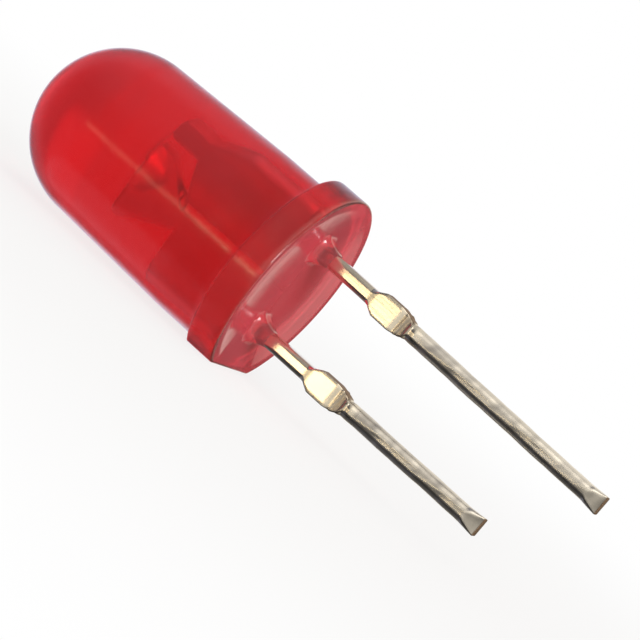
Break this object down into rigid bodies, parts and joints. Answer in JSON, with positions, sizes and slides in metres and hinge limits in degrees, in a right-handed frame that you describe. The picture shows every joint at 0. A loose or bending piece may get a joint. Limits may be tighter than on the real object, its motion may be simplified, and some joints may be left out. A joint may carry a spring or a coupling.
{
  "type": "through hole led",
  "caption": "Round tinted lamp with a flanged, domed lens and two trimmed wire leads for a circuit board; it lies on the flat of its flange.",
  "frame": {"origin": "on the optical axis, in the plane where the flange's rim sits on a circuit board", "axes": "+X along the leads, away from the dome; +Z from the cathode lead to the anode lead, up as the lamp lies on its flat"},
  "size_m": [0.0181, 0.0058, 0.0054],
  "materials": {
    "tinted_epoxy": "cast clear red epoxy, glossy",
    "tinned_steel": "stamped steel with a tin coat",
    "semiconductor": "sawn chip",
    "silver_epoxy": "silver-filled epoxy",
    "gold": "drawn gold wire"
  },
  "bodies": {
    "root": {"lens_body": "tinted_epoxy", "cathode_lead": "tinned_steel", "anode_lead": "tinned_steel", "led_die": "semiconductor", "die_attach": "silver_epoxy", "bond_wire": "gold"}
  },
  "joints": []
}
